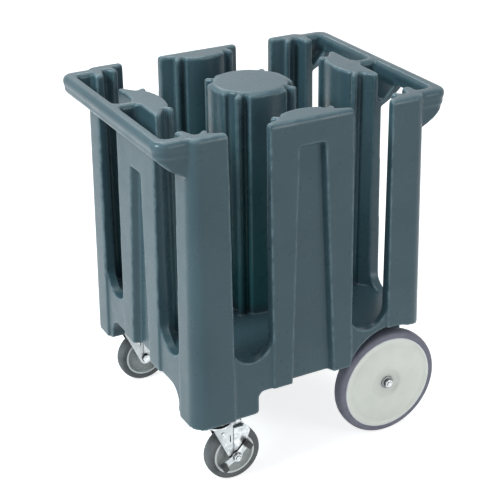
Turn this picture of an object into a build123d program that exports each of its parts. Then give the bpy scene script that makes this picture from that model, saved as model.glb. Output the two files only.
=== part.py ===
"""Dish caddy: a one-piece moulded plastic body with four open plate wells, two large rear wheels on a
fixed steel axle, and two swivel casters with side brakes. Millimetres, +Z up, origin on the floor under
the centre of the body. The handles are at the two X ends, the large wheels at the +X end."""
from build123d import *

import copy
import os
from math import cos, hypot, radians, sin, tan

os.makedirs("parts", exist_ok=True)

# Body: overall form
TOP_Z = 806.0            # height over the posts
BASE_Z = 212.0           # underside of the base
DECK_Z = 288.0           # floor of the plate wells
LEG_Z = 160.0            # underside of the two caster legs
HALF_X = 274.0           # half length at the top, at the end walls
HALF_Y = 266.0           # half width at the top, at the side walls
DRAFT = 1.0              # lean of the outer walls, degrees
CORNER_R = 24.0          # upright corners of the body
TOP_CUT = 3.5            # bevel of the posts' top edges
EDGE_R = 8.0             # rounding of the lower edges

# Plate wells, slots and posts
WELL_X = 0.524 * HALF_X  # well centres
WELL_Y = 0.5526 * HALF_Y
WELL_R = 0.189 * (HALF_X + HALF_Y)       # free radius between the four fins of a well
SLOT_X = 0.336 * HALF_X  # width of the slots in the side walls
SLOT_Y = 0.38 * HALF_Y   # width of the slots in the end walls
FLANGE = 18.0            # thickness of the outer wall beside a slot
FIN_W = 15.0             # width of a plate fin
NOTCH = 14.0             # how far a fin stands out of its post, along X and along Y
DIP = 10.0               # hollow of the corner posts beside the end wall
PLAN_R = 4.0             # rounding of the posts' plan
LOBE_GAP = 21.5          # from a fin's tip back to the side of the middle post's lobe
SIDE_LOBE = (5.0, 18.0)  # how far the side posts' lobes pass the fins' tips, at shoulders and middle
END_LOBE = (-1.0, 9.0)   # the same for the end posts
CORE_GAP = 21.5          # from a fin's tip back to the round middle of the centre post
CORE_X_LOBE = (35.0, 12.5, 18.5)         # the centre post's lobes along X, from a fin's tip: half width
                                         # less, shoulders further out, middle further out
CORE_Y_LOBE = (25.5, 8.0, 13.0)
SLOT_STEP = 5.0          # depth of the shallow channel below each slot
SINK = 6.0               # how far the pieces of the moulding run into each other
SKIN = 4.0               # how far a cut in a wall starts outside it

# Panels between the slots
PANEL_DEPTH = 18.0
PANEL_SLOPE = 8.0        # run of the recess's sloping sides
SIDE_PANEL_TOP = TOP_Z - 56
SIDE_PANEL_W_TOP = 62.0
SIDE_PANEL_W_LOW = 104.0
END_PANEL_TOP = TOP_Z - 149
END_PANEL_W_TOP = 52.0
END_PANEL_W_LOW = 92.0

# Handles
BAR_OUT = HALF_X + 64    # outer face of the handle bar from the centre
BAR_W = 30.0
BAR_H = 36.0             # height of the bar with its lip
BAR_R = 11.0
ROLL_H = 25.0            # height of the bar's rounded upper part
LIP_IN = 2.5             # how far the lip below it stands back
LIP_CUT = 3.0
BAR_END = HALF_Y - 10    # half length of the handle along Y
BAR_CORNER = 28.0
GRIP_R = 11.0            # inner corners of the hand openings
ARM_W = 34.0
WEB_W = 27.0             # web from the bar to the middle post
FLARE_DROP = 43.0        # height of the flare that carries the bar
FLARE_BELLY = 4.0        # how far its outer face bulges
FLARE_WALL = 14.0        # height of the flare's foot, under the hand pockets
POCKET_IN = 8.0          # how far a hand pocket goes into the middle post
POCKET_R = 14.0

# Caster legs
LEG_X = 143 - HALF_X     # inner faces of the legs
LEG_Y = HALF_Y - 84
LEG_FILLET_X = 15.0
LEG_FILLET_Y = 38.0

# Rear wheels
WHEEL_R = 127.0
WHEEL_X = HALF_X - 66    # axle line
WHEEL_Y = HALF_Y - 25    # middle of the tyre
ARCH_R = 115.0
ARCH_X = WHEEL_X - 7
ARCH_Z = 167.0
ARCH_TOP = ARCH_R + ARCH_Z
ARCH_END = ARCH_TOP - 15                 # underside of the arch at the end wall
ARCH_Y = WHEEL_Y - 45    # inner wall of the wheel arch
TYRE_W = 32.0
TYRE_T = 16.0            # depth of the rubber at the tread
AXLE_R = 8.0
BEAM_W = 90.0            # moulded beam that carries the axle
GROOVE_FIT = 0.1         # clearance of the axle in the beam's groove
STRAP_PITCH = 64.0
STRAP_Y = ARCH_Y - 31
STRAP_INSERT_R = 5.5
STRAP_INSERT_H = 18.0
STRAP_INSERT_END = 2.0   # closed end of an insert
RIM_PROUD = 1.0          # the wheel's rim stands this far out of the tyre
HUB_R = 32.0
HUB_IN = WHEEL_Y - 41    # faces of the hub, from the middle of the caddy
HUB_OUT = WHEEL_Y + 12
BUSH_R = 12.0
SPACER_R = 17.0
WASHER_R = 15.0
WASHER_T = 2.5
STUD_R = 5.0             # threaded ends of the axle
AXLE_NUT_AF = 17.0
AXLE_NUT_H = 8.0
STRAP_L = 86.0
STRAP_W = 28.0
STRAP_T = 4.0
STRAP_BOLT_R = 3.0
STRAP_BOLT_AF = 10.0
STRAP_BOLT_HEAD = 4.0
STRAP_BOLT_L = STRAP_INSERT_H - 1
FIT = 0.05               # radial clearance of a running fit
SEAT = 0.02              # clearance of parts that are seated for good
RUN = 0.1                # end play of a running part

# Swivel casters
CASTER_X = 55 - HALF_X
CASTER_Y = HALF_Y - 28
CASTER_R = 63.5
CASTER_W = 32.0
TRAIL = 35.0             # from the swivel axis to the wheel axle
PLATE_X = 92.0
PLATE_Y = 60.0
PLATE_T = 3.0
BOLT_PITCH_X = 76.0
BOLT_PITCH_Y = 44.0
BOLT_R = 4.0
INSERT_R = 7.0
INSERT_H = 25.0
BALL_R = 3.175
RACE_R = 24.0
BALL_COUNT = 18
BALL_SIDES = 8
BALL_BANDS = (-72, -45, -15, 15, 45, 72)
FORK_T = 3.0
FORK_IN = 19.5           # half gap between the fork legs
FORK_TIP_R = 16.0
FORK_FRONT = -19.0       # front edge of the fork at its crown
FORK_BACK = 50.0
FORK_WING = (70.0, -38.0)                # rear corner of a fork leg
RIDGE_X = 30.0           # front edge of the raised rear half of a leg
FORK_SLOT = (17.0, 2.5)
FORK_SLOT_AT = (22.0, -49.5)
FORK_WINDOW = (25.0, 10.0)               # opening under the crown
FORK_WINDOW_AT = (41.0, -20.0)
EMBOSS = 1.5
AXLE_DROP = -96.5        # wheel axle below the leg's underside
BOLT_AF = 13.0
BOLT_HEAD_T = 5.5
BOSS_R = 31.0
BOSS_T = 2.5
BALL_Z = -7.6            # middle of the ball race
RACE_MINOR = 3.225
CROWN_R = 33.0
CROWN_T = 3.5
CROWN_LOW = -13.2
PIN_R = 6.0              # kingpin
PIN_END = -24.5
HEAD_R = 10.0
HEAD_T = 2.3
THRUST_R = 15.0
THRUST_T = 2.0
PIN_NUT_AF = 19.0
PIN_NUT_H = 8.0
BOLT5_R = 5.0            # caster wheel bolt
NUT5_AF = 17.0
NUT5_H = 7.0
SLEEVE_R = 7.0
CASTER_BUSH_R = 10.0
HUB5_R = 15.0
CASTER_TYRE_T = 15.5

# Caster brake
BRAKE_ANGLES = (45.0, 207.0)             # rest angles of the brake lever's two arms
BRAKE_ARM = 33.0
LEVER_W = 15.0
LEVER_T = 2.5
LEVER_HUB = 1.8          # how far the lever's hub holds it off the fork
LEVER_HUB_R = 11.0
TAB_L = 13.0
TAB_W = 18.0
TAB_OUT = 14.0
SHOE_GAP = 2.0
SHOE_T = 3.5
SHOE_W = 28.0
SHOE_FROM = 68.0         # arc of the shoe, seen from the wheel's axle
SHOE_TO = 113.0
PIVOT_X = 5.0            # shoe pin, from the swivel axis
PIVOT_Z = -32.5
PIVOT_R = 3.0
EAR_R = 6.0


def lean(z):
    """How much further out the walls stand at height z than at the top."""
    return (TOP_Z - z) * tan(radians(DRAFT))


def mirrored(shape):
    """A shape and its mirror image in X."""
    return shape + mirror(shape, Plane.YZ)


def four(shape):
    """A shape in all four quarters of the plan."""
    half = mirrored(shape)
    return half + mirror(half, Plane.XZ)


def along_y(shape, y0, y1):
    """A flat shape drawn as (x, z), made solid between two values of y."""
    return Pos(0, y0, 0) * extrude(Plane.XZ * shape, y1 - y0, dir=(0, 1, 0))


def bar_to(tip, angle, length, width):
    """A flat bar in plan with a round end at tip, running back from it at angle."""
    r = width / 2
    body = Pos(-length / 2 - r, 0) * Rectangle(length, width)
    end = Pos(-r, 0) * Circle(r)
    return Pos(*tip) * Rot(0, 0, angle) * (body + end)


# Plan of the posts
REACH = WELL_R * cos(radians(45))        # from a well's centre to a fin tip, along X and along Y
FIN_NEAR_X = WELL_X - REACH
FIN_FAR_X = WELL_X + REACH
FIN_NEAR_Y = WELL_Y - REACH
FIN_FAR_Y = WELL_Y + REACH
MOUTH_X0 = WELL_X - SLOT_X / 2
MOUTH_X1 = WELL_X + SLOT_X / 2
MOUTH_Y0 = WELL_Y - SLOT_Y / 2
MOUTH_Y1 = WELL_Y + SLOT_Y / 2
FIN_BAR = 30.0                           # length of a fin's straight part in the raw plan
UP = (Align.CENTER, Align.CENTER, Align.MIN)
OUT = 40.0                               # how far the raw plan runs past the walls
GAP_X = BAR_OUT - BAR_W                  # inner face of the handle bar


def lobe(half, shoulder, middle):
    """A post's lobe that bulges towards +Y: straight sides, a shallow arc across its front."""
    sides = Polyline((-half, shoulder), (-half, 0), (half, 0), (half, shoulder))
    return make_face(sides + ThreePointArc((half, shoulder), (0, middle), (-half, shoulder)))


def softened(plan, r):
    """A plan with every corner rounded, the hollow ones first."""
    grown = offset(plan, r, kind=Kind.ARC)
    shrunk = offset(grown, -2 * r, kind=Kind.ARC)
    return offset(shrunk, r, kind=Kind.ARC)


def centre_post():
    """Plan of the free-standing post between the four wells: a round core, four lobes and four fins."""
    plan = Circle(hypot(FIN_NEAR_X, FIN_NEAR_Y) - CORE_GAP)
    less, out, far = CORE_Y_LOBE
    north = lobe(FIN_NEAR_X - less, FIN_NEAR_Y + out, FIN_NEAR_Y + far)
    less, out, far = CORE_X_LOBE
    east = Rot(0, 0, -90) * lobe(FIN_NEAR_Y - less, FIN_NEAR_X + out, FIN_NEAR_X + far)
    plan += [north, mirror(north, Plane.XZ), east, mirror(east, Plane.YZ)]
    plan += four(bar_to((FIN_NEAR_X, FIN_NEAR_Y), 45, FIN_BAR, FIN_W))
    return softened(plan, PLAN_R)


def middle_post(mouth, fin_u, fin_v, depths):
    """Plan of a post in the middle of a wall: u along the wall, v inwards from the wall's face."""
    root = fin_u - NOTCH
    depth = fin_v - NOTCH
    plan = Polygon((root, depth), (-root, depth), (-mouth, FLANGE), (-mouth, -OUT), (mouth, -OUT),
                   (mouth, FLANGE), align=None)
    shoulder, middle = depths
    plan += lobe(fin_u - LOBE_GAP, fin_v + shoulder, fin_v + middle)
    plan += bar_to((fin_u, fin_v), 45, FIN_BAR, FIN_W)
    plan += bar_to((-fin_u, fin_v), 135, FIN_BAR, FIN_W)
    return softened(plan, PLAN_R)


def corner_post():
    """Plan of the corner post at +X +Y, in body coordinates."""
    blob = make_face(Polyline(
        (HALF_X + OUT, HALF_Y + OUT), (MOUTH_X1, HALF_Y + OUT), (MOUTH_X1, HALF_Y - FLANGE),
        (FIN_FAR_X + NOTCH, FIN_FAR_Y + NOTCH), (HALF_X - FLANGE - DIP, FIN_FAR_Y + DIP),
        (HALF_X - FLANGE, MOUTH_Y1), (HALF_X + OUT, MOUTH_Y1), (HALF_X + OUT, HALF_Y + OUT),
    ))
    return softened(blob + bar_to((FIN_FAR_X, FIN_FAR_Y), 225, FIN_BAR, FIN_W), PLAN_R)


def plans():
    side = middle_post(MOUTH_X0, FIN_NEAR_X, HALF_Y - FIN_FAR_Y, SIDE_LOBE)
    side = Pos(0, -HALF_Y) * side
    end = middle_post(MOUTH_Y0, FIN_NEAR_Y, HALF_X - FIN_FAR_X, END_LOBE)
    end = Pos(HALF_X, 0) * Rot(0, 0, 90) * end
    return centre_post(), side, end, corner_post()


def envelope():
    """The drafted block that bounds the body, from the legs' feet to the top."""
    low = lean(LEG_Z)
    foot = Pos(0, 0, LEG_Z) * RectangleRounded(2 * (HALF_X + low), 2 * (HALF_Y + low), CORNER_R + low)
    head = Pos(0, 0, TOP_Z) * RectangleRounded(2 * HALF_X, 2 * HALF_Y, CORNER_R)
    return loft([foot, head])


def post(plan, block):
    """A post: its plan drawn up to the top, trimmed to the drafted walls, with a bevelled top."""
    solid = extrude(Pos(0, 0, DECK_Z - SINK) * plan, TOP_Z - DECK_Z + SINK) & block
    rim = solid.edges().group_by(Axis.Z)[-1]
    return chamfer(rim, TOP_CUT)


def slot_floor(width, wall, turn):
    """The trough that closes the bottom of a slot, in the thickness of a wall."""
    r = width / 2
    trough = Rectangle(width, r + SINK, align=(Align.CENTER, Align.MIN)) - Pos(0, r + SINK) * Circle(r)
    bar = along_y(trough, wall - FLANGE, wall + OUT)
    return Pos(0, 0, DECK_Z - SINK) * Rot(0, 0, turn) * bar


def wall_plane(half, turn):
    """The plane of a drafted wall: X along the wall, Y up it, Z outwards; turn 0 is the -Y wall."""
    d = radians(DRAFT)
    t = radians(turn)
    out = half + lean(0)
    return Plane(
        origin=(out * sin(t), -out * cos(t), 0),
        x_dir=(cos(t), sin(t), 0),
        z_dir=(sin(t) * cos(d), -cos(t) * cos(d), sin(d)),
    )


def panel_recess(top, w_top, w_low, depth):
    """A tapering recess in a wall, open at the bottom, in the wall's own plane."""
    slope = (w_low - w_top) / 2 / (top - BASE_Z)
    foot = LEG_Z - 40
    out_top = top
    in_top = top - PANEL_SLOPE

    def outline(height, inset):
        half_top = w_top / 2 + slope * (top - height) - inset
        half_low = w_top / 2 + slope * (top - foot) - inset
        flat = Polygon((-half_low, foot), (half_low, foot), (half_top, height), (-half_top, height),
                       align=None)
        return fillet(flat.vertices().group_by(Axis.Y)[-1], PLAN_R)

    mouth = Pos(0, 0, SKIN) * outline(out_top + SKIN * PANEL_SLOPE / depth, -SKIN * PANEL_SLOPE / depth)
    floor = Pos(0, 0, -depth) * outline(in_top, PANEL_SLOPE)
    return loft([mouth, floor])


def belly():
    """What is left of the base above its underside: two profiles, one along X and one along Y."""
    far = 2 * HALF_X
    high = TOP_Z + OUT
    side = Polygon((-far, LEG_Z), (LEG_X, LEG_Z), (LEG_X, BASE_Z), (far, BASE_Z), (far, high), (-far, high),
                   align=None)
    side = fillet(side.vertices().sort_by_distance((LEG_X, BASE_Z))[0], LEG_FILLET_X)
    side = fillet(side.vertices().sort_by_distance((LEG_X, LEG_Z))[0], EDGE_R)
    low = BASE_Z + SKIN
    front = Polygon((-far, LEG_Z), (-LEG_Y, LEG_Z), (-LEG_Y, low), (LEG_Y, low), (LEG_Y, LEG_Z),
                    (far, LEG_Z), (far, high), (-far, high), align=None)
    for y in (-LEG_Y, LEG_Y):
        front = fillet(front.vertices().sort_by_distance((y, low))[0], LEG_FILLET_Y)
        front = fillet(front.vertices().sort_by_distance((y, LEG_Z))[0], EDGE_R)
    along_y = extrude(Plane.XZ * side, far, both=True)
    along_x = extrude(Plane.YZ * front, far, both=True)
    return along_y & along_x


def wheel_arch():
    """The two arches over the rear wheels, open at the bottom and at the +X wall."""
    far = 2 * HALF_X
    low = LEG_Z / 2
    drop = (ARCH_TOP - ARCH_END) / (HALF_X + lean(ARCH_END) - ARCH_X)
    flat = Pos(ARCH_X, ARCH_Z) * Circle(ARCH_R)
    flat += Polygon((ARCH_X, ARCH_TOP), (far, ARCH_TOP - drop * (far - ARCH_X)), (far, low), (ARCH_X, low),
                    align=None)
    flat += Pos(ARCH_X, low) * Rectangle(ARCH_R, ARCH_Z - low, align=(Align.MAX, Align.MIN))
    side = along_y(flat, ARCH_Y, far)
    return side + mirror(side, Plane.XZ)


def handle_outline(inset):
    """Outline of the handle frame at +X with its rounded outer corners, drawn in all round by inset."""
    back = HALF_X - FLANGE / 2
    plan = Pos((back + BAR_OUT) / 2, 0) * Rectangle(BAR_OUT - back - 2 * inset, 2 * (BAR_END - inset))
    return fillet(plan.vertices().group_by(Axis.X)[-1], BAR_CORNER - inset)


def handle():
    """The handle frame at +X: a bar with a lip under it, two arms to the corner posts, a web between."""
    back = HALF_X - FLANGE / 2
    plan = handle_outline(0)
    gap = Pos(back - SINK, WEB_W / 2) * Rectangle(
        GAP_X - back + SINK, BAR_END - ARM_W - WEB_W / 2, align=(Align.MIN, Align.MIN),
    )
    gap = fillet(gap.vertices().group_by(Axis.X)[-1], GRIP_R)
    plan -= gap + mirror(gap, Plane.XZ)
    roll = extrude(Pos(0, 0, TOP_Z - ROLL_H) * plan, ROLL_H)
    roll = fillet(rims(roll, back), BAR_R)
    lip = extrude(Pos(0, 0, TOP_Z - BAR_H) * offset(plan, -LIP_IN, kind=Kind.INTERSECTION), BAR_H - ROLL_H / 2)
    low = [e for e in rims(lip, back + LIP_IN) if e.center().Z < TOP_Z - ROLL_H]
    return roll + chamfer(low, LIP_CUT)


def rims(plate, back):
    """The level edges of a flat plate, without those of the end faces that sink into the wall at back."""
    ends = [f for f in plate.faces() if abs(f.normal_at().X + 1) < 0.01 and f.center().X < back + 1]
    skip = [e for f in ends for e in f.edges()]
    return [e for e in plate.edges().filter_by(Plane.XY) if not any(e.is_same(s) for s in skip)]


def flare(half_width):
    """The bulging gusset under a handle bar, symmetric about its own middle."""
    top = TOP_Z - ROLL_H + BAR_R
    low = TOP_Z - BAR_H - FLARE_DROP
    back = HALF_X - FLANGE / 2
    foot = (HALF_X + lean(low) - 1, low)
    head = (BAR_OUT - LIP_IN - LIP_CUT, TOP_Z - BAR_H)
    belly = ((foot[0] + head[0] + FLARE_BELLY) / 2, (foot[1] + head[1]) / 2 - FLARE_BELLY)
    edge = Polyline(head, (head[0], top), (back, top), (back, low), foot)
    side = make_face(edge + ThreePointArc(foot, belly, head))
    return extrude(Plane.XZ * side, half_width, both=True)


def hand_pocket(y0, y1, back):
    """The room behind a handle bar, open at the top and closed below by the flare's wall."""
    low = TOP_Z - BAR_H - FLARE_DROP + FLARE_WALL
    side = Polygon((back, TOP_Z + SKIN), (GAP_X, TOP_Z + SKIN), (GAP_X, TOP_Z - BAR_H),
                   (HALF_X + SINK, low), (back, low), align=None)
    return along_y(side, y0, y1)


def beam():
    """The moulded beam under the base that carries the axle in a groove open downwards."""
    low = WHEEL_R - AXLE_R
    bar = Pos(WHEEL_X, 0) * Rectangle(BEAM_W, 2 * ARCH_Y)
    bar = fillet(bar.vertices(), PLAN_R)
    bar = extrude(Pos(0, 0, low) * bar, BASE_Z + SINK - low)
    slot = Pos(0, WHEEL_R) * Circle(AXLE_R + GROOVE_FIT)
    slot += Pos(0, WHEEL_R) * Rectangle(2 * (AXLE_R + GROOVE_FIT), 4 * AXLE_R, align=(Align.CENTER, Align.MAX))
    groove = extrude(Plane.XZ * slot, 2 * ARCH_Y, both=True)
    return bar - Pos(WHEEL_X, 0, 0) * groove


def body_shell():
    block = envelope()
    centre, side, end, corner = plans()
    base = extrude(Pos(0, 0, LEG_Z) * Rectangle(800, 800), DECK_Z - LEG_Z)
    for x in (-WELL_X, WELL_X):
        floor = Pos(x, 0, 0) * slot_floor(SLOT_X, HALF_Y, 0)
        base += [floor, mirror(floor, Plane.XZ)]
    for y in (-WELL_Y, WELL_Y):
        floor = Pos(0, y, 0) * slot_floor(SLOT_Y, HALF_X, -90)
        base += [floor, mirror(floor, Plane.YZ)]
    base = base & block & belly()
    base -= wheel_arch()
    shell = base
    middle_y = post(side, block)
    middle_x = post(end, block)
    quarter = post(corner, block)
    shell += post(centre, block)
    shell += [middle_y, mirror(middle_y, Plane.XZ), middle_x, mirror(middle_x, Plane.YZ)]
    right = [quarter, mirror(quarter, Plane.YZ)]
    shell += right + [mirror(q, Plane.XZ) for q in right]
    for turn, half, top, w_top, w_low in (
        (0, HALF_Y, SIDE_PANEL_TOP, SIDE_PANEL_W_TOP, SIDE_PANEL_W_LOW),
        (180, HALF_Y, SIDE_PANEL_TOP, SIDE_PANEL_W_TOP, SIDE_PANEL_W_LOW),
        (90, HALF_X, END_PANEL_TOP, END_PANEL_W_TOP, END_PANEL_W_LOW),
        (-90, HALF_X, END_PANEL_TOP, END_PANEL_W_TOP, END_PANEL_W_LOW),
    ):
        plane = wall_plane(half, turn)
        shell -= plane * panel_recess(top, w_top, w_low, PANEL_DEPTH)
        width = SLOT_X if half == HALF_Y else SLOT_Y
        shift = WELL_X if half == HALF_Y else WELL_Y
        tall = DECK_Z + width / 2
        for x in (-shift, shift):
            channel = Pos(x, tall / 2, (SKIN - SLOT_STEP) / 2) * Box(width, tall, SLOT_STEP + SKIN)
            shell -= plane * channel
    grip = handle()
    mid = flare(MOUTH_Y0)
    arm = (BAR_END - LIP_IN - LIP_CUT - MOUTH_Y1) / 2
    near = Pos(0, MOUTH_Y1 + arm, 0) * flare(arm)
    near = near & extrude(Pos(0, 0, DECK_Z) * handle_outline(LIP_IN + LIP_CUT), TOP_Z - DECK_Z)
    grip += [mid, near, mirror(near, Plane.XZ)]
    shell += [grip, mirror(grip, Plane.YZ)]
    web = WEB_W / 2
    deep = hand_pocket(web, MOUTH_Y0 + 1, HALF_X - POCKET_IN)
    deep = fillet(deep.edges().filter_by(Axis.Z).sort_by_distance((HALF_X - POCKET_IN, web, TOP_Z))[0], POCKET_R)
    room = deep + hand_pocket(MOUTH_Y1 - 1, BAR_END - ARM_W, HALF_X)
    room += mirror(room, Plane.XZ)
    shell -= [room, mirror(room, Plane.YZ)]
    shell += beam()
    for x, y in plate_holes():
        shell -= Pos(x, y, LEG_Z - 1) * Cylinder(INSERT_R + SEAT, INSERT_H + 1 + SEAT, align=UP)
    for x, y in strap_holes():
        shell -= Pos(x, y, WHEEL_R - AXLE_R - 1) * Cylinder(STRAP_INSERT_R + SEAT, STRAP_INSERT_H + 1 + SEAT, align=UP)
    return shell


def plate_holes():
    return [
        (CASTER_X + sx * BOLT_PITCH_X / 2, side * CASTER_Y + sy * BOLT_PITCH_Y / 2)
        for side in (-1, 1) for sx in (-1, 1) for sy in (-1, 1)
    ]


def strap_holes():
    return [(WHEEL_X + sx * STRAP_PITCH / 2, sy * STRAP_Y) for sx in (-1, 1) for sy in (-1, 1)]


def turned(points):
    """A solid of revolution about the Y axis, from (radius, y) points."""
    return revolve(make_face(Polyline(*points, points[0])), Axis.Y)


def rod(r, y0, y1):
    return along_y(Circle(r), y0, y1)


def hexagon(flats):
    return RegularPolygon(flats / 2, 6, major_radius=False)


def both_sides(shape):
    """A shape at the -Y side and its mirror image at the +Y side."""
    return shape, mirror(shape, Plane.XZ)


def together(shapes):
    return Compound(children=[copy.copy(s) for s in shapes])


def rear_wheel():
    """The +Y rear wheel on its own axis: (tyre, wheel, bush)."""
    out = WHEEL_Y + TYRE_W / 2
    inn = WHEEL_Y - TYRE_W / 2
    rim = WHEEL_R - TYRE_T
    tread = rim + SEAT
    tyre = turned([
        (tread, inn), (WHEEL_R - 8, inn), (WHEEL_R - 4, inn + 2), (WHEEL_R - 1, inn + 6), (WHEEL_R, inn + 12),
        (WHEEL_R, out - 12), (WHEEL_R - 1, out - 6), (WHEEL_R - 4, out - 2), (WHEEL_R - 8, out), (tread, out),
    ])
    face = out + RIM_PROUD
    wheel = turned([
        (BUSH_R + SEAT, HUB_IN), (HUB_R, HUB_IN), (HUB_R + 3, inn + 12), (rim - 18, inn + 12),
        (rim - 12, inn + 1), (rim, inn + 1), (rim, face - 1), (rim - 1, face), (rim - 5, face),
        (rim - 8, face - 3), (rim - 18, face - 3), (rim - 20, face - 1.2), (HUB_R + 10, face - 1.2),
        (HUB_R + 1, face - 3.5), (BUSH_R + 4, HUB_OUT), (BUSH_R + SEAT, HUB_OUT),
    ])
    bush = turned([(AXLE_R + FIT, HUB_IN), (BUSH_R, HUB_IN), (BUSH_R, HUB_OUT), (AXLE_R + FIT, HUB_OUT)])
    place = Pos(WHEEL_X, 0, WHEEL_R)
    return place * tyre, place * wheel, place * bush


def axle_parts():
    """The steel axle with its end washers, spacer washers and nuts, and the two straps that hold it."""
    step = HUB_OUT + RUN
    end = step + WASHER_T + AXLE_NUT_H
    half = turned([
        (0, 0), (AXLE_R, 0), (AXLE_R, step), (STUD_R, step), (STUD_R, end + 1), (STUD_R - 1, end + 2),
        (0, end + 2),
    ])
    axle = half + mirror(half, Plane.XZ)
    spacer = rod(SPACER_R, ARCH_Y + SEAT, HUB_IN - RUN) - rod(AXLE_R + SEAT, 0, 2 * HUB_IN)
    washer = rod(WASHER_R, step + SEAT, step + WASHER_T) - rod(STUD_R + SEAT, 0, 2 * step)
    nut = along_y(hexagon(AXLE_NUT_AF), step + WASHER_T + SEAT, end) - rod(STUD_R + SEAT, 0, 2 * step)
    nut = nut & turned([(0, step), (AXLE_NUT_AF * 0.6, step), (AXLE_NUT_AF * 0.6, end - 2),
                        (AXLE_NUT_AF * 0.5, end), (0, end)])
    place = Pos(WHEEL_X, 0, WHEEL_R)
    low = WHEEL_R - AXLE_R
    plan = fillet(Rectangle(STRAP_L, STRAP_W).vertices(), PLAN_R)
    strap = Pos(WHEEL_X, STRAP_Y, low - STRAP_T - SEAT) * extrude(plan, STRAP_T)
    bolts, inserts = [], []
    for x, y in strap_holes():
        hole = Cylinder(STRAP_BOLT_R + SEAT, STRAP_INSERT_H)
        if y > 0:
            strap -= Pos(x, y, low) * hole
        insert = Cylinder(STRAP_INSERT_R, STRAP_INSERT_H, align=UP)
        insert -= Cylinder(STRAP_BOLT_R + SEAT, STRAP_INSERT_H - STRAP_INSERT_END, align=UP)
        inserts.append(Pos(x, y, low) * insert)
        head = extrude(Pos(0, 0, -STRAP_BOLT_HEAD) * hexagon(STRAP_BOLT_AF), STRAP_BOLT_HEAD)
        shank = Cylinder(STRAP_BOLT_R, STRAP_BOLT_L, align=UP)
        bolts.append(Pos(x, y, low - STRAP_T - 2 * SEAT) * (head + shank))
    return {
        "axle": place * axle,
        "spacer_washers": together(both_sides(place * spacer)),
        "end_washers": together(both_sides(place * washer)),
        "axle_nuts": together(both_sides(place * nut)),
        "axle_straps": together(both_sides(strap)),
        "strap_bolts": together(bolts),
        "strap_inserts": together(inserts),
    }


def race():
    """The room for the ball race: a ring of eight-sided section around the balls."""
    section = RegularPolygon(RACE_MINOR, BALL_SIDES, major_radius=False)
    return revolve(Plane.XZ * Pos(RACE_R, BALL_Z) * section, Axis.Z)


def caster_plate():
    """The top plate with its boss and upper ball race, and the kingpin that hangs from it."""
    plan = fillet(Rectangle(PLATE_X, PLATE_Y).vertices(), 8)
    plate = extrude(plan, -PLATE_T)
    boss = Pos(0, 0, -PLATE_T - BOSS_T) * Cylinder(BOSS_R, BOSS_T + 1, align=UP)
    plate += chamfer(boss.edges().group_by(Axis.Z)[0], 1)
    plate -= race()
    plate -= Cylinder(PIN_R + SEAT, 40)
    plate -= Pos(0, 0, -HEAD_T - 0.3) * Cylinder(HEAD_R + SEAT, 5, align=UP)
    for x in (-BOLT_PITCH_X / 2, BOLT_PITCH_X / 2):
        for y in (-BOLT_PITCH_Y / 2, BOLT_PITCH_Y / 2):
            plate -= Pos(x, y, 0) * Cylinder(BOLT_R + SEAT, 20)
    pin = Pos(0, 0, -HEAD_T - 0.28) * Cylinder(HEAD_R, HEAD_T, align=UP)
    pin += Pos(0, 0, PIN_END) * Cylinder(PIN_R, -PIN_END - 1, align=UP)
    pin = pin & Pos(0, 0, -40) * Cylinder(20, 40 - 0.2, align=UP)
    return plate, pin


def plate_bolts():
    """The bolts of both caster plates and the threaded inserts they run into."""
    bolts, inserts = [], []
    for x, y in plate_holes():
        insert = Cylinder(INSERT_R, INSERT_H, align=UP) - Cylinder(BOLT_R + SEAT, INSERT_H - 3, align=UP)
        inserts.append(Pos(x, y, LEG_Z) * insert)
        head = extrude(Pos(0, 0, -BOLT_HEAD_T) * hexagon(BOLT_AF), BOLT_HEAD_T)
        shank = Cylinder(BOLT_R, PLATE_T + INSERT_H - 5, align=UP)
        bolts.append(Pos(x, y, LEG_Z - PLATE_T - SEAT) * (head + shank))
    return together(bolts), together(inserts)


def fork_side():
    """Outline of a fork leg, as (x, z) from the swivel axis."""
    tip = Pos(TRAIL, AXLE_DROP) * Circle(FORK_TIP_R)
    wing = Polygon((FORK_FRONT, CROWN_LOW), (FORK_BACK, CROWN_LOW), FORK_WING,
                   (TRAIL + FORK_TIP_R - 1, AXLE_DROP + 5), (TRAIL - FORK_TIP_R + 1, AXLE_DROP - 4),
                   align=None)
    wing = fillet(wing.vertices().sort_by_distance(FORK_WING)[0], 10)
    return wing + tip - Pos(*FORK_WINDOW_AT) * SlotOverall(*FORK_WINDOW)


def fork():
    """The pressed fork: crown with the lower ball race, two legs with a raised rear half and a slot."""
    outer = FORK_IN + FORK_T
    crown = Circle(CROWN_R) + Rectangle(FORK_BACK, 2 * outer, align=(Align.MIN, Align.CENTER))
    crown = Pos(0, 0, CROWN_LOW) * extrude(crown, CROWN_T)
    side = fork_side()
    raised = side & Pos(RIDGE_X, AXLE_DROP / 2) * Rectangle(
        2 * TRAIL, CROWN_LOW - AXLE_DROP - FORK_TIP_R, align=(Align.MIN, Align.CENTER),
    )
    slot = Pos(*FORK_SLOT_AT) * SlotOverall(*FORK_SLOT, rotation=90)
    leg = along_y(side - slot, FORK_IN, outer)
    leg += along_y(raised - slot, outer - 1, outer + EMBOSS)
    body = crown + leg + mirror(leg, Plane.XZ)
    body -= race()
    body -= Cylinder(PIN_R + FIT + 0.03, 60)
    body -= Pos(TRAIL, 0, AXLE_DROP) * rod(BOLT5_R + SEAT, -40, 40)
    body -= Pos(PIVOT_X, 0, PIVOT_Z) * rod(PIVOT_R + SEAT, -40, 40)
    return body


def ball():
    """A bearing ball, drawn with flats: eight sides in plan, five bands up."""
    rings = [
        Pos(0, 0, BALL_R * sin(radians(up))) * RegularPolygon(BALL_R * cos(radians(up)), BALL_SIDES)
        for up in BALL_BANDS
    ]
    return loft(rings, ruled=True)


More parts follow.
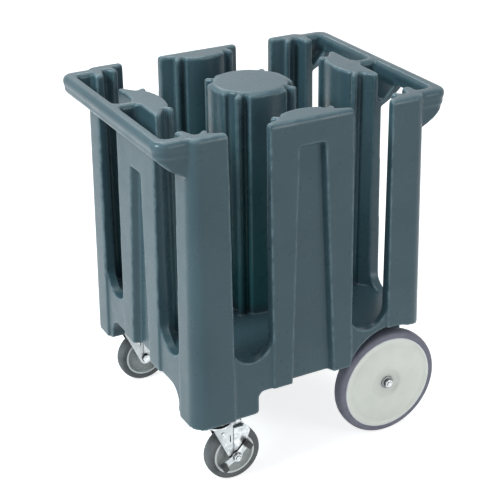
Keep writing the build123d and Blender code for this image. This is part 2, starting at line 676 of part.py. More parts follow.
def balls():
    step = 360 / BALL_COUNT
    return Compound(children=[Rot(0, 0, i * step) * Pos(RACE_R, 0, BALL_Z) * ball() for i in range(BALL_COUNT)])


def caster_wheel():
    """Tyre, core and bush of a caster wheel, about its own axle, both faces alike."""
    w = CASTER_W / 2
    rim = CASTER_R - CASTER_TYRE_T
    tread = [(CASTER_R - 8, w), (CASTER_R - 4, w - 2), (CASTER_R - 1, w - 6), (CASTER_R, w - 12)]
    tyre = turned([(rim + SEAT, -w), *[(r, -y) for r, y in tread], *tread[::-1], (rim + SEAT, w)])
    core = turned([
        (CASTER_BUSH_R + SEAT, -w - 1.5), (HUB5_R, -w - 1.5), (HUB5_R + 1.5, -w + 6), (rim - 10, -w + 6),
        (rim - 6, -w + 1), (rim - 1, -w + 1), (rim, -w + 2), (rim, w - 2), (rim - 1, w - 1),
        (rim - 6, w - 1), (rim - 10, w - 6), (HUB5_R + 1.5, w - 6), (HUB5_R, w + 1.5),
        (CASTER_BUSH_R + SEAT, w + 1.5),
    ])
    end = w + 1.5
    bush = rod(CASTER_BUSH_R, -end, end) - rod(SLEEVE_R + FIT, -2 * end, 2 * end)
    return tyre, core, bush


def caster_axle():
    """The wheel bolt, its sleeve between the fork legs, and its nut on the brake side (-Y)."""
    outer = FORK_IN + FORK_T
    nut_in = outer + LEVER_HUB + LEVER_T + 3 * SEAT
    bolt = rod(BOLT5_R, -nut_in - NUT5_H - 1.5, outer + SEAT)
    bolt += along_y(hexagon(NUT5_AF), outer + SEAT, outer + SEAT + 6)
    sleeve = rod(SLEEVE_R, -FORK_IN + SEAT, FORK_IN - SEAT) - rod(BOLT5_R + SEAT, -40, 40)
    nut = along_y(hexagon(NUT5_AF), -nut_in - NUT5_H, -nut_in) - rod(BOLT5_R + SEAT, -80, 40)
    crown = turned([(0, -nut_in - NUT5_H), (NUT5_AF * 0.5, -nut_in - NUT5_H),
                    (NUT5_AF * 0.6, -nut_in - NUT5_H + 1.5), (NUT5_AF * 0.6, 0), (0, 0)])
    return bolt, sleeve, nut & crown


def brake():
    """The brake's rocker lever with its two foot tabs (-Y side), its shoe over the tyre and the shoe's pin."""
    outer = FORK_IN + FORK_T + SEAT
    arms = Circle(LEVER_HUB_R)
    for angle in BRAKE_ANGLES:
        arms += Rot(0, 0, angle) * Rectangle(BRAKE_ARM, LEVER_W, align=(Align.MIN, Align.CENTER))
        arms += Pos(*polar(BRAKE_ARM, angle)) * Circle(LEVER_W / 2)
    lever = along_y(arms, -outer - LEVER_HUB - LEVER_T, -outer - LEVER_HUB)
    lever += rod(LEVER_HUB_R, -outer - LEVER_HUB - LEVER_T, -outer)
    lever -= rod(BOLT5_R + FIT, -60, 10)
    tabs = []
    inner = -outer - LEVER_HUB
    for angle in BRAKE_ANGLES:
        pad = fillet(Rectangle(TAB_L, TAB_W).vertices(), 2.5)
        pad = Rot(0, 0, angle) * Pos(BRAKE_ARM + LEVER_W / 2 - TAB_L / 2 + 2, 0) * pad
        solid = along_y(pad, inner - TAB_OUT, inner)
        solid = chamfer(solid.edges().group_by(Axis.Y)[0], 1.5)
        pocket = along_y(offset(arms, SEAT), inner - LEVER_T - SEAT, inner + 1)
        tabs.append(solid - pocket)
    shoe_in = CASTER_R + SHOE_GAP
    ring = Circle(shoe_in + SHOE_T) - Circle(shoe_in)
    wedge = Polygon((0, 0), *[polar(110, a) for a in (SHOE_FROM, (SHOE_FROM + SHOE_TO) / 2, SHOE_TO)],
                    align=None)
    shape = ring & wedge
    spot = (PIVOT_X - TRAIL, PIVOT_Z - AXLE_DROP)
    shape += Pos(*spot) * Circle(EAR_R)
    shape = along_y(shape, -SHOE_W / 2, SHOE_W / 2) - Pos(spot[0], 0, spot[1]) * rod(PIVOT_R + FIT, -40, 40)
    pin = rod(PIVOT_R, -FORK_IN - FORK_T - 1, FORK_IN + FORK_T + 1)
    return lever, together(tabs), shape, Pos(spot[0], 0, spot[1]) * pin


def polar(r, degrees_up):
    return (r * cos(radians(degrees_up)), r * sin(radians(degrees_up)))


def caster_parts():
    """Every piece of the -Y caster, in body coordinates."""
    swivel = Pos(CASTER_X, -CASTER_Y, LEG_Z)
    wheel = swivel * Pos(TRAIL, 0, AXLE_DROP)
    plate, pin = caster_plate()
    tyre, core, bush = caster_wheel()
    bolt, sleeve, nut = caster_axle()
    lever, tabs, shoe, shoe_pin = brake()
    washer_z = CROWN_LOW - RUN
    washer = Pos(0, 0, washer_z - THRUST_T) * (
        Cylinder(THRUST_R, THRUST_T, align=UP) - Cylinder(PIN_R + SEAT, THRUST_T, align=UP)
    )
    nut_top = washer_z - THRUST_T - SEAT
    pin_nut = extrude(Pos(0, 0, nut_top - PIN_NUT_H) * hexagon(PIN_NUT_AF), PIN_NUT_H)
    pin_nut -= Cylinder(PIN_R + SEAT, 80)
    return {
        "caster_plate": swivel * plate,
        "kingpin": swivel * pin,
        "swivel_balls": swivel * balls(),
        "thrust_washer": swivel * washer,
        "kingpin_nut": swivel * pin_nut,
        "caster_fork": swivel * fork(),
        "caster_axle": wheel * bolt,
        "axle_sleeve": wheel * sleeve,
        "caster_axle_nut": wheel * nut,
        "shoe_pin": wheel * shoe_pin,
        "caster_tyre": wheel * tyre,
        "caster_core": wheel * core,
        "caster_bush": wheel * bush,
        "brake_lever": wheel * lever,
        "brake_tabs": wheel * tabs,
        "brake_shoe": wheel * shoe,
    }


def build():
    parts = {"body_shell": body_shell()}
    parts.update(axle_parts())
    tyre, wheel, bush = rear_wheel()
    for name, shape in (("rear_tyre", tyre), ("rear_wheel", wheel), ("rear_bush", bush)):
        parts[name + "_right"] = shape
        parts[name + "_left"] = mirror(shape, Plane.XZ)
    parts["plate_bolts"], parts["plate_inserts"] = plate_bolts()
    for name, shape in caster_parts().items():
        if name in ("thrust_washer", "kingpin_nut"):
            parts[name + "s"] = together(both_sides(shape))
        else:
            parts[name + "_left"] = shape
            parts[name + "_right"] = mirror(shape, Plane.XZ)
    return parts


for node, solid in build().items():
    solid.label = node
    export_step(solid, "parts/" + node + ".step")
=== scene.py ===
import math

import bpy
from mathutils import Matrix, Vector


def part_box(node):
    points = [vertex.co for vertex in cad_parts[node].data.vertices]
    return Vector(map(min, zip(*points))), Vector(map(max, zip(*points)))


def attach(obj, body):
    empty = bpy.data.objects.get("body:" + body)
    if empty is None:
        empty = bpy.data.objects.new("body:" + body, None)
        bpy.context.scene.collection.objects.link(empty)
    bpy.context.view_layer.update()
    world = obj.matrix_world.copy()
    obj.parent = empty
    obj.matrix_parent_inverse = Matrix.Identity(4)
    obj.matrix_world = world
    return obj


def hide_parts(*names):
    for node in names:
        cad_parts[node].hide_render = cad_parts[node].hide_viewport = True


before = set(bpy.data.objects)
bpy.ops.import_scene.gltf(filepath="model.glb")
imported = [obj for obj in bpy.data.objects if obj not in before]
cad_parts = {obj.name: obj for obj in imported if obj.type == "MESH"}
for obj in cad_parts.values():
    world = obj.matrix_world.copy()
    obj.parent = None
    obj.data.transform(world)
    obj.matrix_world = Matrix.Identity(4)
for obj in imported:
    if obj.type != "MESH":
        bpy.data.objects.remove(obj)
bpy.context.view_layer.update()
bpy.ops.object.select_all(action="DESELECT")

# The view: the caddy seen from above its caster end's left corner with a long lens, as in the
# photograph. The whole frame is turned by a small roll, and the lens is shifted a little downwards.
AZIMUTH = math.radians(-27.92)
ELEVATION = math.radians(24.85)
ROLL = math.radians(-0.76)
CAMERA_PLACE = Vector((-1.248, -2.346, 1.684))
LENS_PIXELS = 1298.0
FRAME_PIXELS = 500.0
AXIS_ROW = 230.0
SENSOR_WIDTH = 36.0
CLIP_END = 50.0

flat = Vector((math.sin(AZIMUTH), -math.cos(AZIMUTH), 0.0))
back = flat * math.cos(ELEVATION) + Vector((0.0, 0.0, math.sin(ELEVATION)))
right = (-back).cross(Vector((0.0, 0.0, 1.0))).normalized()
up = right.cross(-back)
tilted_right = math.cos(ROLL) * right + math.sin(ROLL) * up
tilted_up = math.cos(ROLL) * up - math.sin(ROLL) * right
lens = bpy.data.cameras.new("photo_lens")
lens.sensor_width = SENSOR_WIDTH
lens.lens = LENS_PIXELS / FRAME_PIXELS * lens.sensor_width
lens.shift_y = (AXIS_ROW - FRAME_PIXELS / 2) / FRAME_PIXELS
lens.clip_end = CLIP_END
camera = bpy.data.objects.new("photo_camera", lens)
bpy.context.scene.collection.objects.link(camera)
turn = Matrix((tilted_right, tilted_up, back)).transposed().to_4x4()
camera.matrix_world = Matrix.Translation(CAMERA_PLACE) @ turn
bpy.context.scene.camera = camera
bpy.context.scene.view_settings.view_transform = "Standard"

# The body: walls, posts, wells, legs and both handles are one piece of polyethylene, moulded in a
# closed mould. Every edge is rounded, the posts' tops most of all, and the skin has a fine pebble.
BODY_VOXEL = 0.0025
BODY_FACES = 185000
SMOOTHING = 0.5
BODY_ROUNDS = 5
TOP_ROUNDS = 8
TOP_BAND = 0.016        # depth under the tops that is smoothed more
TOP_GAIN = 1.6          # how soon that smoothing is full, over the band
FLARE_BAND = 0.090      # height of the flares under the handles
FLARE_SHARE = 0.35
WALL_X = 0.274
WALL_CLEAR = 0.003
CROWN_DEPTH = 0.016     # depth over which the tops' shaping fades out
DISC_RADIUS = 0.078     # round disc on the centre post
DISC_EDGE = 0.008
POST_PAST = 4.4         # reach of the centre post past its disc, in widths of the edge
RIM_FALL = 0.0035
SIDE_ROUND = 0.006
WALL_LEAN = 0.0113      # how far the side walls' tops stand in from the box
SLATE = (0.056, 0.101, 0.121, 1.0)
SLATE_DARK = (0.046, 0.087, 0.105, 1.0)
# paler edge colour: partly wear, partly painted highlight
SLATE_WEAR_AND_HIGHLIGHT = (0.165, 0.235, 0.262, 1.0)
WELL_SHADE = (0.040, 0.130, 0.144, 1.0)
FLOOR_SHADE = (0.046, 0.080, 0.095, 1.0)
WELL_FROM = 0.92        # share of the way to the walls at which the wells' shade begins
WELL_DEEP = 0.74        # and at which it is full
WELL_TOP = 0.03
WELL_DOWN = 0.42
FLOOR_BAND = (0.292, 0.318)
MERGE_GAP = 0.00001
EDGE_FROM = 0.505       # pointiness at which an edge begins to wear (and, on the body, to take a painted highlight), and at which it is bare
EDGE_FULL = 0.545


def only(piece):
    """Selects one piece alone and makes it the active one."""
    bpy.ops.object.select_all(action="DESELECT")
    piece.select_set(True)
    bpy.context.view_layer.objects.active = piece


def finish_with(piece, kind, **settings):
    """Adds a modifier to a piece and applies it."""
    only(piece)
    modifier = piece.modifiers.new(kind.lower(), kind)
    for key, value in settings.items():
        setattr(modifier, key, value)
    bpy.ops.object.modifier_apply(modifier=modifier.name)


def same_shape(node, name):
    """A new piece that starts as a merged copy of a CAD node's mesh."""
    piece = bpy.data.objects.new(name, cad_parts[node].data.copy())
    bpy.context.scene.collection.objects.link(piece)
    piece.data.materials.clear()
    only(piece)
    bpy.ops.object.mode_set(mode="EDIT")
    bpy.ops.mesh.select_all(action="SELECT")
    bpy.ops.mesh.remove_doubles(threshold=MERGE_GAP)
    bpy.ops.mesh.normals_make_consistent(inside=False)
    bpy.ops.object.mode_set(mode="OBJECT")
    return piece


def new_finish(name):
    """An empty material: its nodes, its links and its shader."""
    finish = bpy.data.materials.new(name)
    finish.use_nodes = True
    tree = finish.node_tree
    return finish, tree, tree.nodes["Principled BSDF"]


def object_point(tree):
    """A point of the object in its own coordinates, so that a pattern stays on the piece."""
    return tree.nodes.new("ShaderNodeTexCoord").outputs["Object"]


def noise(tree, point, scale, detail=3.0, roughness=0.5):
    """A noise pattern on a point, with its value from 0 to 1."""
    pattern = tree.nodes.new("ShaderNodeTexNoise")
    pattern.inputs["Scale"].default_value = scale
    pattern.inputs["Detail"].default_value = detail
    pattern.inputs["Roughness"].default_value = roughness
    tree.links.new(point, pattern.inputs["Vector"])
    return pattern.outputs["Fac"]


def spread(tree, value, low, high, to_low=0.0, to_high=1.0):
    """A value's range from low to high, stretched over another range and held inside it."""
    node = tree.nodes.new("ShaderNodeMapRange")
    node.inputs["From Min"].default_value = low
    node.inputs["From Max"].default_value = high
    node.inputs["To Min"].default_value = to_low
    node.inputs["To Max"].default_value = to_high
    tree.links.new(value, node.inputs["Value"])
    return node.outputs["Result"]


def blended(tree, share, first, second):
    """Two colours mixed by a share; each is a colour or another node's output."""
    node = tree.nodes.new("ShaderNodeMix")
    node.data_type = "RGBA"
    tree.links.new(share, node.inputs[0])
    for socket, colour in ((node.inputs[6], first), (node.inputs[7], second)):
        if isinstance(colour, tuple):
            socket.default_value = colour
        else:
            tree.links.new(colour, socket)
    return node.outputs[2]


def bumped(tree, shader, height, distance, strength=1.0, under=None):
    """Gives a shader a relief, on its own or on top of another one."""
    node = tree.nodes.new("ShaderNodeBump")
    node.inputs["Strength"].default_value = strength
    node.inputs["Distance"].default_value = distance
    tree.links.new(height, node.inputs["Height"])
    if under is not None:
        tree.links.new(under, node.inputs["Normal"])
    tree.links.new(node.outputs["Normal"], shader.inputs["Normal"])
    return node.outputs["Normal"]


def maths(tree, operation, first, second):
    """One operation on two values; each is a number or another node's output."""
    node = tree.nodes.new("ShaderNodeMath")
    node.operation = operation
    for socket, value in ((node.inputs[0], first), (node.inputs[1], second)):
        if isinstance(value, float):
            socket.default_value = value
        else:
            tree.links.new(value, socket)
    return node.outputs[0]


def uneven_gloss(tree, shader, pattern, low, high):
    """A roughness that wanders between two values with a pattern."""
    tree.links.new(spread(tree, pattern, 0.3, 0.7, low, high), shader.inputs["Roughness"])


def edge_wear_and_highlight_group():
    """A group shared by the finishes: a mask from a point's edges and a scuff pattern, for wear and, on the
    body, a painted edge highlight.
    """
    group = bpy.data.node_groups.new("edge_wear_and_highlight", "ShaderNodeTree")
    group.interface.new_socket("Point", in_out="INPUT", socket_type="NodeSocketVector")
    scale = group.interface.new_socket("Scuff Scale", in_out="INPUT", socket_type="NodeSocketFloat")
    scale.default_value = 40.0
    group.interface.new_socket("Wear", in_out="OUTPUT", socket_type="NodeSocketFloat")
    source = group.nodes.new("NodeGroupInput")
    result = group.nodes.new("NodeGroupOutput")
    shape = group.nodes.new("ShaderNodeNewGeometry")
    edge = spread(group, shape.outputs["Pointiness"], EDGE_FROM, EDGE_FULL)
    scuff = group.nodes.new("ShaderNodeTexNoise")
    scuff.inputs["Detail"].default_value = 5.0
    group.links.new(source.outputs["Point"], scuff.inputs["Vector"])
    group.links.new(source.outputs["Scuff Scale"], scuff.inputs["Scale"])
    patch = spread(group, scuff.outputs["Fac"], 0.30, 0.60)
    group.links.new(maths(group, "MULTIPLY", edge, patch), result.inputs["Wear"])
    return group


edge_wear_and_highlight = edge_wear_and_highlight_group()


def wear_and_highlight_at(tree, point, scale):
    """The shared mask for wear and painted edge highlight, read at a point."""
    node = tree.nodes.new("ShaderNodeGroup")
    node.node_tree = edge_wear_and_highlight
    node.inputs["Scuff Scale"].default_value = scale
    tree.links.new(point, node.inputs["Point"])
    return node.outputs["Wear"]


def deep_in_wells(tree, point, box):
    """How far a point lies inside the ring of posts and below their tops, and if it is above the floor."""
    low, high = box
    parts = tree.nodes.new("ShaderNodeSeparateXYZ")
    tree.links.new(point, parts.inputs[0])
    along = maths(tree, "DIVIDE", maths(tree, "ABSOLUTE", parts.outputs["X"], 0.0), WALL_X)
    across = maths(tree, "DIVIDE", maths(tree, "ABSOLUTE", parts.outputs["Y"], 0.0), high.y)
    inside = spread(tree, maths(tree, "MAXIMUM", along, across), WELL_DEEP, WELL_FROM, 1.0, 0.0)
    below = spread(tree, parts.outputs["Z"], high.z - WELL_DOWN, high.z - WELL_TOP, 1.0, 0.0)
    over_floor = spread(tree, parts.outputs["Z"], *FLOOR_BAND)
    return maths(tree, "MULTIPLY", inside, below), over_floor


def moulded_slate():
    """Blue-grey polyethylene: cloudy colour, a fine pebble, paler edges that are partly wear and partly a
    painted highlight, and painted shade on the walls and floors deep in the wells."""
    finish, tree, shader = new_finish("moulded_slate")
    point = object_point(tree)
    cloud = spread(tree, noise(tree, point, 7.0, 4.0), 0.35, 0.65)
    colour = blended(tree, cloud, SLATE_DARK, SLATE)
    # painted shade: the wells' walls and floors are darkened towards their depth
    deep, over_floor = deep_in_wells(tree, point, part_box("body_shell"))
    colour = blended(tree, deep, colour, blended(tree, over_floor, FLOOR_SHADE, WELL_SHADE))
    # partly wear, partly painted highlight: edges outside the wells are lightened
    rubbed_and_highlit = maths(tree, "MULTIPLY", wear_and_highlight_at(tree, point, 55.0), maths(tree, "SUBTRACT", 1.0, deep))
    colour = blended(tree, rubbed_and_highlit, colour, SLATE_WEAR_AND_HIGHLIGHT)
    tree.links.new(colour, shader.inputs["Base Color"])
    uneven_gloss(tree, shader, noise(tree, point, 22.0, 5.0), 0.24, 0.36)
    shader.inputs["Specular IOR Level"].default_value = 0.30
    ripple = bumped(tree, shader, noise(tree, point, 9.0, 2.0), 0.004, 0.12)
    bumped(tree, shader, noise(tree, point, 650.0, 2.0), 0.0002, 0.13, under=ripple)
    return finish


body = same_shape("body_shell", "moulded_body")
finish_with(body, "REMESH", mode="VOXEL", voxel_size=BODY_VOXEL)
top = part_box("body_shell")[1].z
wall_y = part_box("body_shell")[1].y - WALL_LEAN

# The tops: the centre post's fins and rim drop below its round disc, and the side walls' edges are round.
for vertex in body.data.vertices:
    share = 1.0 - (top - vertex.co.z) / CROWN_DEPTH
    if share <= 0.0:
        continue
    past_disc = (math.hypot(vertex.co.x, vertex.co.y) - DISC_RADIUS) / DISC_EDGE
    near_wall = min(SIDE_ROUND, SIDE_ROUND - wall_y + abs(vertex.co.y))
    if near_wall > 0.0:
        vertex.co.z -= share * (SIDE_ROUND - math.sqrt(SIDE_ROUND ** 2 - near_wall ** 2))
    elif 0.0 < past_disc < POST_PAST:
        past_disc = min(1.0, past_disc)
        vertex.co.z -= share * RIM_FALL * past_disc ** 2 * (3.0 - 2.0 * past_disc)
finish_with(body, "SMOOTH", factor=SMOOTHING, iterations=BODY_ROUNDS)

# The moulding is roundest at the tops and under the handles, so these are smoothed once more.
crown = body.vertex_groups.new(name="crown")
for vertex in body.data.vertices:
    share = TOP_GAIN * (vertex.co.z - (top - TOP_BAND)) / TOP_BAND
    if abs(vertex.co.x) > WALL_X + WALL_CLEAR and vertex.co.z > top - FLARE_BAND:
        share = FLARE_SHARE
    if share > 0.0:
        crown.add([vertex.index], min(1.0, share), "REPLACE")
finish_with(body, "SMOOTH", factor=SMOOTHING, iterations=TOP_ROUNDS, vertex_group="crown")
finish_with(body, "DECIMATE", ratio=BODY_FACES / (2 * len(body.data.polygons)))
bpy.ops.object.shade_smooth()
body.data.materials.append(moulded_slate())
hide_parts("body_shell")
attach(body, "caddy")

# The large wheels: each is a pale moulded disc with a raised lip and a shallow dish round the hub,
# and a grey rubber tread bonded to it. They run on a nylon bush and are held by a washer and a nut.
TREAD_SEGMENTS = 128
RUBBER = (0.165, 0.160, 0.205, 1.0)
RUBBER_DUSTY = (0.235, 0.230, 0.275, 1.0)
PALE = (0.920, 0.905, 0.820, 1.0)
PALE_DULL = (0.850, 0.840, 0.760, 1.0)
# painted highlight along the disc's lip
PALE_LIP_HIGHLIGHT = (1.000, 1.000, 0.990, 1.0)
GRIME = (0.520, 0.525, 0.490, 1.0)
HUB_RADIUS = 0.0320
LIP_WIDTH = 0.0034
WELD_GAP = 0.000005
SEAT_GAP = 0.0001
BEVEL_ANGLE = math.radians(30.0)
SMOOTH_ANGLE = math.radians(40.0)
TREAD_BEVEL = 0.0008
DISC_BEVEL = 0.0005
TREAD_STEPS = 15
TREAD_STEP = 12.0       # degrees round a tread's section from one step to the next
TREAD_BEND = 0.75       # below 1, a tread is flatter in the middle than a half circle


def turned_ring(name, profile, centre, segments):
    """A ring round the Y axis: a circle drawn out in steps through a profile of (radius, y) points."""
    x, z = centre
    radius, y = profile[0]
    bpy.ops.object.select_all(action="DESELECT")
    bpy.ops.mesh.primitive_circle_add(
        vertices=segments, radius=radius, location=(x, y, z), rotation=(math.pi / 2, 0.0, 0.0)
    )
    piece = bpy.context.object
    piece.name = name
    bpy.ops.object.transform_apply(location=True, rotation=True, scale=True)
    bpy.ops.object.mode_set(mode="EDIT")
    bpy.ops.mesh.select_all(action="SELECT")
    for next_radius, next_y in profile[1:]:
        bpy.ops.mesh.extrude_region_move(TRANSFORM_OT_translate={"value": (0.0, next_y - y, 0.0)})
        grow = next_radius / radius
        bpy.ops.transform.resize(value=(grow, 1.0, grow), center_override=(x, next_y, z))
        radius, y = next_radius, next_y
    bpy.ops.mesh.select_all(action="SELECT")
    bpy.ops.mesh.remove_doubles(threshold=WELD_GAP)
    bpy.ops.mesh.normals_make_consistent(inside=False)
    bpy.ops.object.mode_set(mode="OBJECT")
    return piece


def rounded(piece, width):
    """Breaks a piece's sharp edges with a small bevel and shades the rest smooth."""
    finish_with(piece, "BEVEL", width=width, segments=2, limit_method="ANGLE",
                angle_limit=BEVEL_ANGLE, harden_normals=False)
    bpy.ops.object.shade_smooth_by_angle(angle=SMOOTH_ANGLE)


def other_side(piece, name):
    """The same piece made again for the other side of the caddy, with a mesh of its own."""
    twin = bpy.data.objects.new(name, piece.data.copy())
    bpy.context.scene.collection.objects.link(twin)
    only(twin)
    bpy.ops.object.mode_set(mode="EDIT")
    bpy.ops.mesh.select_all(action="SELECT")
    bpy.ops.transform.resize(value=(1.0, -1.0, 1.0), center_override=(0.0, 0.0, 0.0))
    bpy.ops.mesh.normals_make_consistent(inside=False)
    bpy.ops.object.mode_set(mode="OBJECT")
    return twin


def middle(node):
    """The axis of a turned CAD node: its middle in X and Z, and its faces in Y."""
    low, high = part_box(node)
    return ((low.x + high.x) / 2, (low.z + high.z) / 2), low.y, high.y


def reach_of(node):
    """The radius of a turned CAD node on a Y axis."""
    low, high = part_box(node)
    return (high.z - low.z) / 2


def tread_profile(seat, radius, faces, bead, shoulder, inset, drop, bend, share):
    """A tyre's section: a bead on the rim, a flat side wall, and a crowned tread between its faces."""
    out, inner = faces
    half = (inner - out) / 2
    centre = (inner + out) / 2
    profile = [(seat, out + bead), (radius - shoulder, out + inset)]
    for step in range(TREAD_STEPS):
        turn_angle = math.radians(TREAD_STEP * (step - TREAD_STEPS // 2))
        bulge = math.copysign(abs(math.sin(turn_angle)) ** TREAD_BEND, math.sin(turn_angle))
        depth = drop * (1.0 - math.cos(turn_angle) ** bend)
        profile.append((radius - depth, centre + share * half * bulge))
    profile += [(radius - shoulder, inner - inset), (seat, inner - bead)]
    return profile + profile[:1]


def grey_rubber(name, dark, dusty, scale):
    """Matt rubber: clouds of dust over a dark ground, dustier where it is rubbed, with a fine grain."""
    finish, tree, shader = new_finish(name)
    point = object_point(tree)
    dust = spread(tree, noise(tree, point, 26.0 * scale, 6.0, 0.65), 0.35, 0.70)
    colour = blended(tree, dust, dark, dusty)
    rub = wear_and_highlight_at(tree, point, 90.0)
    colour = blended(tree, rub, colour, dusty)
    tree.links.new(colour, shader.inputs["Base Color"])
    uneven_gloss(tree, shader, noise(tree, point, 60.0 * scale, 4.0), 0.55, 0.75)
    shader.inputs["Specular IOR Level"].default_value = 0.4
    bumped(tree, shader, noise(tree, point, 700.0, 3.0), 0.0002, 0.4)
    return finish


def distance_from_axle(tree, point, centre):
    """How far a point lies from a wheel's axle."""
    x, z = centre
    shift = tree.nodes.new("ShaderNodeMapping")
    shift.inputs["Location"].default_value = (-x, 0.0, -z)
    shift.inputs["Scale"].default_value = (1.0, 0.0, 1.0)
    tree.links.new(point, shift.inputs["Vector"])
    length = tree.nodes.new("ShaderNodeVectorMath")
    length.operation = "LENGTH"
    tree.links.new(shift.outputs["Vector"], length.inputs[0])
    return length.outputs["Value"]


def pale_moulding(centre, hub, rim):
    """Pale grey plastic: faint flow clouds, a painted highlight along the lip, and grime that gathers round
    the hub.
    """
    finish, tree, shader = new_finish("pale_moulding")
    point = object_point(tree)
    cloud = spread(tree, noise(tree, point, 14.0, 3.0), 0.35, 0.65)
    colour = blended(tree, cloud, PALE_DULL, PALE)
    reach = distance_from_axle(tree, point, centre)
    colour = blended(tree, spread(tree, reach, hub * 0.5, hub * 1.3, 0.40, 0.0), colour, GRIME)
    # painted highlight: a pale band along the disc's lip
    colour = blended(tree, spread(tree, reach, rim - LIP_WIDTH, rim - LIP_WIDTH / 2), colour, PALE_LIP_HIGHLIGHT)
    tree.links.new(colour, shader.inputs["Base Color"])
    uneven_gloss(tree, shader, noise(tree, point, 45.0, 4.0), 0.30, 0.45)
    bumped(tree, shader, noise(tree, point, 420.0, 2.0), 0.0002, 0.25)
    return finish


tyre_axis, tyre_out, tyre_in = middle("rear_tyre_left")
disc_axis, disc_out, disc_in = middle("rear_wheel_left")
disc_radius = reach_of("rear_wheel_left")
bush_radius = reach_of("rear_bush_left")
tyre_profile = tread_profile(
    disc_radius + SEAT_GAP, reach_of("rear_tyre_left"), (tyre_out, tyre_in),
    bead=0.0006, shoulder=0.0125, inset=0.0, drop=0.0115, bend=0.62, share=0.995,
)
rear_tyre = turned_ring("rear_tread_left", tyre_profile, tyre_axis, TREAD_SEGMENTS)
rounded(rear_tyre, TREAD_BEVEL)
rear_tyre.data.materials.append(grey_rubber("wheel_rubber", RUBBER, RUBBER_DUSTY, 1.0))

# The disc's outer face, from the bush outwards: each radius, and how far it stands out of the hub's.
LIP_STANDS = 0.0050
DISC_FACE = (
    (0.0180, 0.0), (0.0215, 0.0006), (0.0285, 0.0012), (0.0315, 0.0034), (0.0340, 0.0045),
    (0.0370, 0.0044), (0.0400, 0.0036), (0.0460, 0.0038), (0.0890, 0.0038), (0.0915, 0.0032),
    (0.0935, 0.0024), (0.1010, 0.0024), (0.1030, 0.0030), (0.1045, 0.0044), (0.1058, 0.0049),
)
hub_face = disc_out + LIP_STANDS
disc_profile = [(bush_radius + SEAT_GAP, hub_face)]
disc_profile += [(radius, hub_face - stands) for radius, stands in DISC_FACE]
disc_profile += [
    (disc_radius - 0.0014, hub_face - LIP_STANDS), (disc_radius - 0.0004, hub_face - 0.0045),
    (disc_radius, hub_face - 0.0036), (disc_radius, tyre_in - 0.0012),
    (disc_radius - 0.0120, tyre_in - 0.0012), (disc_radius - 0.0180, tyre_in - 0.0120),
    (0.0360, tyre_in - 0.0120), (0.0320, tyre_in - 0.0080), (0.0315, disc_in - 0.0010),
    (0.0305, disc_in), (bush_radius + SEAT_GAP, disc_in),
]
disc_profile.append(disc_profile[0])
rear_disc = turned_ring("wheel_disc_left", disc_profile, disc_axis, TREAD_SEGMENTS)
rounded(rear_disc, DISC_BEVEL)
rear_disc.data.materials.append(pale_moulding(disc_axis, HUB_RADIUS, disc_radius))

for side in ("left", "right"):
    tread = rear_tyre if side == "left" else other_side(rear_tyre, "rear_tread_right")
    disc = rear_disc if side == "left" else other_side(rear_disc, "wheel_disc_right")
    for piece, node, name in (
        (tread, "rear_tyre", "rear_rubber"),
        (disc, "rear_wheel", "wheel_plastic"),
    ):
        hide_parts(node + "_" + side)
        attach(piece, "rear_wheel_" + side)

# The wheels' plain bearings: turned nylon bushes, milky and slightly waxy, pressed into the hubs.
NYLON = (0.720, 0.700, 0.620, 1.0)
NYLON_STAINED = (0.520, 0.490, 0.410, 1.0)


def milky_nylon():
    """Milky white plastic, unevenly stained by grease."""
    finish, tree, shader = new_finish("milky_nylon")
    point = object_point(tree)
    stain = spread(tree, noise(tree, point, 70.0, 4.0), 0.45, 0.75)
    tree.links.new(blended(tree, stain, NYLON, NYLON_STAINED), shader.inputs["Base Color"])
    uneven_gloss(tree, shader, noise(tree, point, 160.0, 2.0), 0.28, 0.42)
    bumped(tree, shader, noise(tree, point, 900.0, 2.0), 0.0001, 0.2)
    return finish


def refinish(finish, *nodes):
    """Puts a finish on CAD nodes that keep their shape."""
    for node in nodes:
        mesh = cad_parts[node].data
        mesh.materials.clear()
        mesh.materials.append(finish)


nylon = milky_nylon()
refinish(nylon, "rear_bush_left", "rear_bush_right", "caster_bush_left", "caster_bush_right")

# The fixed axle: a plain steel rod in a moulded groove under the base, held by two steel straps that
# are bolted into threaded inserts. Spacers keep the wheels off the base, washers and nuts hold them on.
ZINC = (0.430, 0.445, 0.455, 1.0)
ZINC_CLOUD = (0.330, 0.345, 0.355, 1.0)
ZINC_DULL = (0.240, 0.248, 0.250, 1.0)
ZINC_DARK = (0.130, 0.134, 0.136, 1.0)
ZINC_BRIGHT = (0.780, 0.790, 0.795, 1.0)
# painted shade for the zinc's corners and creases
ZINC_CORNER_SHADE = (0.030, 0.032, 0.034, 1.0)
CORNER_REACH = 0.006
NUT_AF = 0.017
NUT_HEIGHT = 0.0078
NUT_FACE = 0.0079       # from the nuts' outer faces in to the washer
NUT_BEVEL = 0.0004
NUT_SEGMENTS = 48
NUT_CHAMFER = 0.0010
DOME_FROM = 0.62        # share of a nut's height at which its corners begin to dome
DOME_BEND = 0.80
AXIS_GAP = 0.0001       # a turned tool stays this far off its own axis
WASHER_SEGMENTS = 72
STUD_HOLE = 0.00505
WASHER_RADIUS = 0.0150
WASHER_THICK = 0.0024
SHARP_ANGLE = math.radians(35.0)


